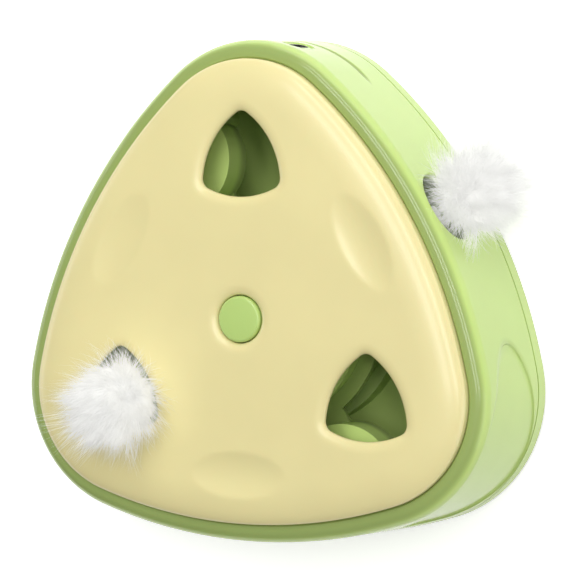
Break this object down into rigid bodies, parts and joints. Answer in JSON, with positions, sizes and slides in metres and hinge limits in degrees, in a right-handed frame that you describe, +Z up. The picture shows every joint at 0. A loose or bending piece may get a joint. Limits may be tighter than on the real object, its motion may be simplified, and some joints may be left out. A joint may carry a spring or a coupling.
{
  "type": "automatic cat toy",
  "caption": "Rounded-triangle automatic cat toy: a motor turns fur teasers that pop out of holes in its face and side.",
  "frame": {"origin": "on the body's axis, at the flat underside of the base", "axes": "+Z up through the face, +Y towards the corner with the charging port, feet just below the origin"},
  "size_m": [0.1935, 0.1851, 0.0877],
  "materials": {
    "cream_plastic": "satin moulded",
    "green_plastic": "satin moulded",
    "button_plastic": "satin moulded",
    "inner_plastic": "fine moulded",
    "white_plastic": "fine moulded",
    "black_plastic": "fine moulded",
    "circuit_board": "solder mask",
    "cell_wrap": "shrink wrap",
    "steel": "plain",
    "brass": "machined",
    "rubber": "matt",
    "soft_stem": "soft",
    "white_fur": "long hair"
  },
  "bodies": {
    "body": {"base_shell": "green_plastic", "upper_housing": "green_plastic", "top_cover": "cream_plastic", "rubber_feet": "rubber", "housing_screws": "steel", "cover_screws": "steel", "pod_screws": "steel", "centre_pod": "inner_plastic", "thrust_washer": "inner_plastic", "retaining_ring": "inner_plastic", "battery": "cell_wrap", "gearbox": "brass", "motor_can": "steel", "motor_bracket": "white_plastic", "bracket_screws": "steel", "control_board": "circuit_board", "board_screws": "steel", "tact_switch": "black_plastic", "port_board": "circuit_board", "port_screws": "steel", "usb_socket": "steel"},
    "turret": {"ring_gear": "inner_plastic", "turret_drum": "inner_plastic", "rotor_plate": "inner_plastic", "rotor_screws": "steel", "face_socket": "inner_plastic", "side_socket": "inner_plastic", "face_stem": "soft_stem", "side_stem": "soft_stem", "face_pompom": "white_fur", "side_pompom": "white_fur"},
    "pinion": {"drive_pinion": "white_plastic", "motor_shaft": "steel"},
    "button": {"power_button": "button_plastic", "switch_plunger": "black_plastic"}
  },
  "joints": [
    {"name": "turret_turn", "type": "hinge", "parent": "body", "child": "turret", "pos_m": [0, 0, 0.0264], "axis": [0, 0, 1], "range_deg": [-120, 120], "deforming": ["face_stem", "face_pompom", "side_stem", "side_pompom"]},
    {"name": "pinion_spin", "type": "hinge", "parent": "body", "child": "pinion", "pos_m": [0, -0.026, 0.005], "axis": [0, 0, 1], "range_deg": [-432, 432]},
    {"name": "button_press", "type": "slide", "parent": "body", "child": "button", "axis": [0, 0, -1], "range_m": [0, 0.0005], "stiffness_N_per_m": 900}
  ],
  "couplings": [
    {"joint": "pinion_spin", "follows": "turret_turn", "ratio": 3.6}
  ]
}
